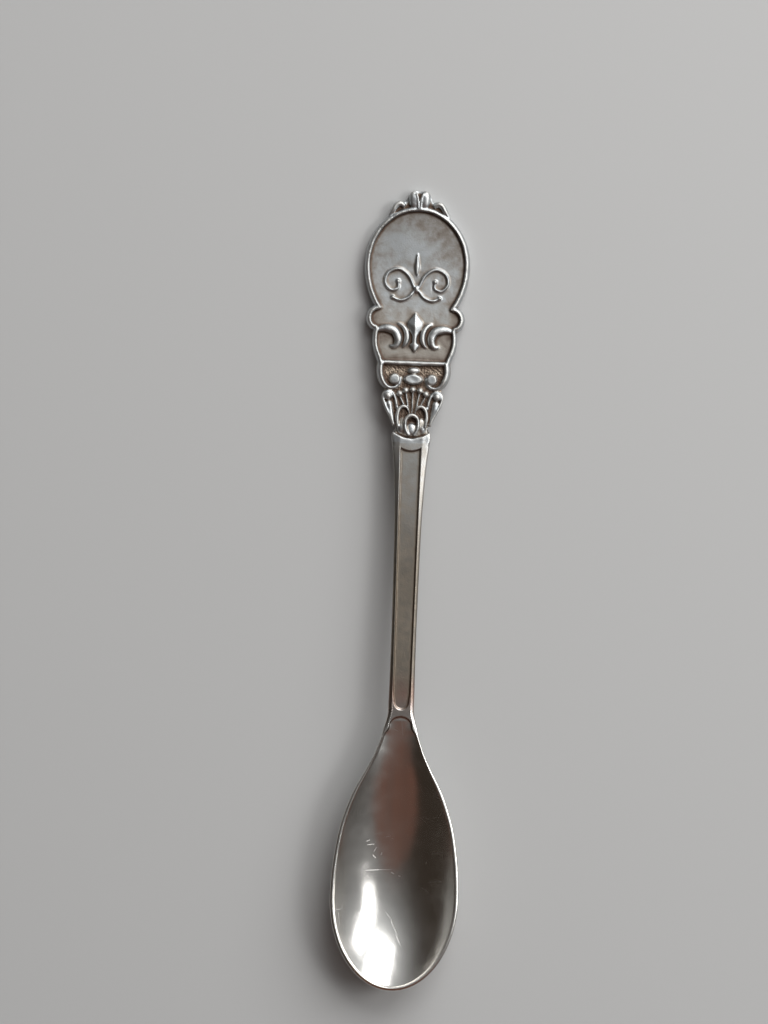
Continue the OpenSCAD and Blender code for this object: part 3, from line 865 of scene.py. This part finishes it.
def scratched(tree, place, ground):
    """Mask of all scratches: fine ones in worn spots off the stippled ground, and the marks."""
    lines = scratches(tree, place, *SCRATCHES[0])
    for direction_and_size in SCRATCHES[1:]:
        lines = figure(tree, "MAXIMUM", lines, scratches(tree, place, *direction_and_size))
    worn = smooth_step(tree, speckle(tree, place, WORN_SPOT_SIZE, 0.0), 0.5, 0.66)
    bare = figure(tree, "MULTIPLY_ADD", ground, -SCRATCH_STRENGTH, SCRATCH_STRENGTH)
    lines = figure(tree, "MULTIPLY", lines, figure(tree, "MULTIPLY", worn, bare))
    for one in MARKS:
        lines = figure(tree, "MAXIMUM", lines, mark(tree, place, *one))
    return lines


def worn_silver():
    """Struck sterling silver, polished and then worn by use.

    The bowl keeps a soft polish that blurs what it reflects; stem and finial are a duller
    satin under a grey-brown film, and the brown tint at the neck is a painted reflection.
    Fine hair scratches from years of wiping catch the light as thin pale lines, real ones
    being finer than the 0.1 mm drawn here. A brown-black tarnish stays in the grooves of
    the relief where no cloth reaches, a thin tan one lies on the stippled ground and the
    lower fields, and the crests are painted brighter, partly as wear and partly as a
    painted highlight.
    """
    made = bpy.data.materials.new("worn_silver")
    made.use_nodes = True
    tree = made.node_tree
    tree.nodes.clear()
    place = node(tree, "ShaderNodeTexCoord").outputs["Object"]
    along = node(tree, "ShaderNodeSeparateXYZ", Vector=place).outputs["Y"]
    recess = node(tree, "ShaderNodeAttribute", {"attribute_name": "recess"}).outputs["Fac"]
    ground = node(tree, "ShaderNodeAttribute", {"attribute_name": "ground"}).outputs["Fac"]
    handle = smooth_step(tree, along, on_grid(NECK_Y - 2), on_grid(NECK_Y + 3))
    past_neck = smooth_step(tree, along, on_grid(NECK_Y + 2), on_grid(NECK_Y + 7))
    towards_finial = smooth_step(tree, along, on_grid(NECK_Y + 20), on_grid(NECK_Y + 46))
    lower_fields = smooth_step(tree, along, on_grid(COLLAR_Y + 24), on_grid(COLLAR_Y + 14))

    cloud = speckle(tree, place, CLOUD_SIZE, 4.0)
    dirt = figure(tree, "MULTIPLY_ADD", cloud, 0.5, recess)
    tarnish = smooth_step(tree, dirt, 0.3, 1.0)
    stained = figure(tree, "MULTIPLY_ADD", lower_fields, 0.3, dirt)
    stained = smooth_step(tree, stained, 0.32, 0.75, 0.0, 0.7)
    tan = figure(tree, "MULTIPLY_ADD", cloud, 0.4, ground)
    tan = smooth_step(tree, tan, 0.3, 1.3, 0.0, 0.75)
    # Crests are painted brighter, partly as wear and partly as a painted highlight of the light they
    # catch.
    crest_wear_and_highlight = smooth_step(tree, recess, -0.3, -1.0)
    # Painted reflection: the brown tint just past the neck stands for a reflected warm colour; further
    # along, the stem's film takes over.
    film = blend(tree, past_neck, tuple(sizes().neck_painted_reflection), tuple(sizes().stem_film))
    film = blend(tree, towards_finial, film, tuple(sizes().dull_silver))
    colour = blend(tree, handle, tuple(sizes().silver), film)
    colour = blend(tree, figure(tree, "MULTIPLY", stained, handle), colour, STAIN)
    colour = blend(tree, crest_wear_and_highlight, colour, CREST_WEAR_AND_HIGHLIGHT)
    colour = blend(tree, tan, colour, GROUND_STAIN)
    colour = blend(tree, tarnish, colour, tuple(sizes().tarnish))

    lines = scratched(tree, place, ground)
    rough = smooth_step(tree, speckle(tree, place, HAZE_SIZE, 5.0), 0.35, 0.7, 0.17, 0.23)
    for share, more in ((handle, 0.23), (tarnish, 0.2), (lines, 0.25), (crest_wear_and_highlight, 0.12)):
        rough = figure(tree, "MULTIPLY_ADD", share, more, rough)

    dots = node(tree, "ShaderNodeTexVoronoi", {"feature": "SMOOTH_F1"}, Vector=place,
                Scale=1 / STIPPLE_SIZE, Smoothness=0.4).outputs["Distance"]
    satin = figure(tree, "MULTIPLY", speckle(tree, place, SATIN_SIZE), handle)
    normal = bumped(tree, speckle(tree, place, WAVE_SIZE, 1.0), WAVE_HEIGHT)
    normal = bumped(tree, satin, SATIN_HEIGHT, normal)
    normal = bumped(tree, figure(tree, "MULTIPLY", dots, ground), STIPPLE_HEIGHT, normal)
    sunk = figure(tree, "MULTIPLY", lines, -1.0)
    normal = bumped(tree, sunk, SCRATCH_DEPTH, normal, Strength=0.5)
    shader = node(tree, "ShaderNodeBsdfPrincipled", Metallic=1.0, Base_Color=colour,
                  Roughness=rough, Normal=normal)
    node(tree, "ShaderNodeOutputMaterial", Surface=shader.outputs[0]).is_active_output = True
    return made


def matte_table():
    """Pale matte table top, plain, with no pattern of its own."""
    made = bpy.data.materials.new("matte_table")
    made.use_nodes = True
    shader = made.node_tree.nodes["Principled BSDF"]
    shader.inputs["Base Color"].default_value = tuple(sizes().table)
    shader.inputs["Roughness"].default_value = 0.8
    return made


class SPOON_OT_spoon(bpy.types.Operator):
    """Builds the spoon in place of its CAD node"""

    bl_idname = "spoon.spoon"
    bl_label = "Spoon"

    def execute(self, context):
        bm = finial()
        merged(bm, bowl_and_stem())
        bmesh.ops.bridge_loops(bm, edges=[e for e in bm.edges if e.is_boundary])
        at_join = [v for v in bm.verts if JOIN_Y - 0.4 < v.co.y < JOIN_Y + JOIN_GAP + 0.4]
        for _ in range(6):
            bmesh.ops.smooth_vert(bm, verts=at_join, factor=0.5, use_axis_x=True, use_axis_y=True,
                                  use_axis_z=True)
        bmesh.ops.triangulate(bm, faces=[f for f in bm.faces if len(f.verts) > 4])
        piece = put_on_grid(bm, "silver_spoon")
        piece.data.materials.append(worn_silver())
        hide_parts("spoon")
        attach(piece, "root")
        return {"FINISHED"}


def direction(azimuth, from_zenith):
    """Unit vector, azimuth in degrees from +X towards +Y."""
    across, up = math.sin(math.radians(from_zenith)), math.cos(math.radians(from_zenith))
    turn = math.radians(azimuth)
    return Vector((across * math.cos(turn), across * math.sin(turn), up))


def window_pane(name, azimuth, from_zenith, width, height, roll, radiance):
    """Area light that faces the spoon, as bright in every size; roll is in degrees."""
    data = bpy.data.lights.new(name, "AREA")
    data.shape = "RECTANGLE"
    data.size = width
    data.size_y = height
    data.energy = math.pi * radiance * width * height
    lamp = bpy.data.objects.new(name, data)
    towards = direction(azimuth, from_zenith)
    lamp.location = towards * WINDOW_DISTANCE
    turned = towards.to_track_quat("Z", "Y") @ Quaternion((0, 0, 1), math.radians(roll))
    lamp.rotation_euler = turned.to_euler()
    bpy.context.scene.collection.objects.link(lamp)


WINDOW_DISTANCE = 0.8
BACKDROP = hex_colour("#C4C4C2")
DARK_WALLS = (0.035, 0.027, 0.021, 1)
BRIGHT_WALLS = (0.83, 0.86, 0.88, 1)
WARM_PATCH = (0.14, 0.07, 0.052, 1)


def nearness(tree, way, azimuth, from_zenith):
    """Cosine of the angle between the way looked and a direction."""
    return node(tree, "ShaderNodeVectorMath", {"operation": "DOT_PRODUCT"}, i0=way,
                i1=direction(azimuth, from_zenith)).outputs["Value"]


def room():
    """World that is bright round the window, dark opposite, with a warm patch past the bowl.

    The camera sees a plain pale backdrop in its place.
    """
    world = bpy.data.worlds.new("room")
    world.use_nodes = True
    tree = world.node_tree
    tree.nodes.clear()
    way = node(tree, "ShaderNodeTexCoord").outputs["Generated"]
    near = node(tree, "ShaderNodeMapRange", Value=nearness(tree, way, 55, 55), From_Min=-0.3,
                From_Max=1.0).outputs[0]
    walls = blend(tree, figure(tree, "POWER", near, 3.4), DARK_WALLS, BRIGHT_WALLS)
    streaks = node(tree, "ShaderNodeTexNoise", Vector=way, Scale=4.0, Detail=3.0).outputs[0]
    warmth = figure(tree, "MULTIPLY", smooth_step(tree, nearness(tree, way, -86, 52), 0.765, 0.845),
                    smooth_step(tree, streaks, 0.35, 0.6, 0.7, 1.0))
    walls = blend(tree, warmth, walls, WARM_PATCH)
    seen = node(tree, "ShaderNodeLightPath").outputs["Is Camera Ray"]
    shown = node(tree, "ShaderNodeBackground", Color=blend(tree, seen, walls, BACKDROP),
                 Strength=1.0).outputs[0]
    node(tree, "ShaderNodeOutputWorld", Surface=shown).is_active_output = True
    return world


# Camera straight above: half the height of its picture on the table, its place and its turn.
HALF_PICTURE = 0.0803
CAMERA_PLACE = (-0.00379, 0.01185, 0.6)
CAMERA_TURN = 2.13


class SPOON_OT_stage(bpy.types.Operator):
    """Lays the table, hangs the lights and sets the camera straight above"""

    bl_idname = "spoon.stage"
    bl_label = "Table, lights and camera"

    def execute(self, context):
        scene = context.scene
        scene.view_settings.view_transform = "Standard"
        bpy.ops.mesh.primitive_plane_add(size=4)
        table = context.object
        table.name = "table"
        table.data.materials.append(matte_table())

        window_pane("left_pane_top", azimuth=-3, from_zenith=42, width=0.24, height=0.23, roll=0,
                    radiance=5.4)
        window_pane("left_pane", azimuth=18, from_zenith=55, width=0.19, height=0.54, roll=24,
                    radiance=5.4)
        window_pane("right_pane", azimuth=64, from_zenith=57, width=0.58, height=0.8, roll=0,
                    radiance=3.8)
        scene.world = room()

        data = bpy.data.cameras.new("camera")
        data.sensor_fit = "VERTICAL"
        data.angle = 2 * math.atan(HALF_PICTURE / CAMERA_PLACE[2])
        camera = bpy.data.objects.new("camera", data)
        camera.location = CAMERA_PLACE
        camera.rotation_euler = (0, 0, math.radians(CAMERA_TURN))
        scene.collection.objects.link(camera)
        scene.camera = camera
        return {"FINISHED"}


class SPOON_PT_panel(bpy.types.Panel):
    """Lists the spoon's operators and sizes"""

    bl_idname = "SPOON_PT_panel"
    bl_label = "Spoon"
    bl_space_type = "VIEW_3D"
    bl_region_type = "UI"
    bl_category = "Spoon"

    def draw(self, context):
        for operator in OPERATORS:
            self.layout.operator(operator.bl_idname)
        for name in SpoonSizes.__annotations__:
            self.layout.prop(context.scene.spoon_sizes, name)


OPERATORS = (SPOON_OT_spoon, SPOON_OT_stage)
CLASSES = (SpoonSizes, *OPERATORS, SPOON_PT_panel)


def register():
    for cls in CLASSES:
        bpy.utils.register_class(cls)
    bpy.types.Scene.spoon_sizes = PointerProperty(type=SpoonSizes)


def unregister():
    del bpy.types.Scene.spoon_sizes
    for cls in reversed(CLASSES):
        bpy.utils.unregister_class(cls)


def main():
    register()
    bpy.ops.spoon.spoon()
    bpy.ops.spoon.stage()


if __name__ == "__main__":
    main()
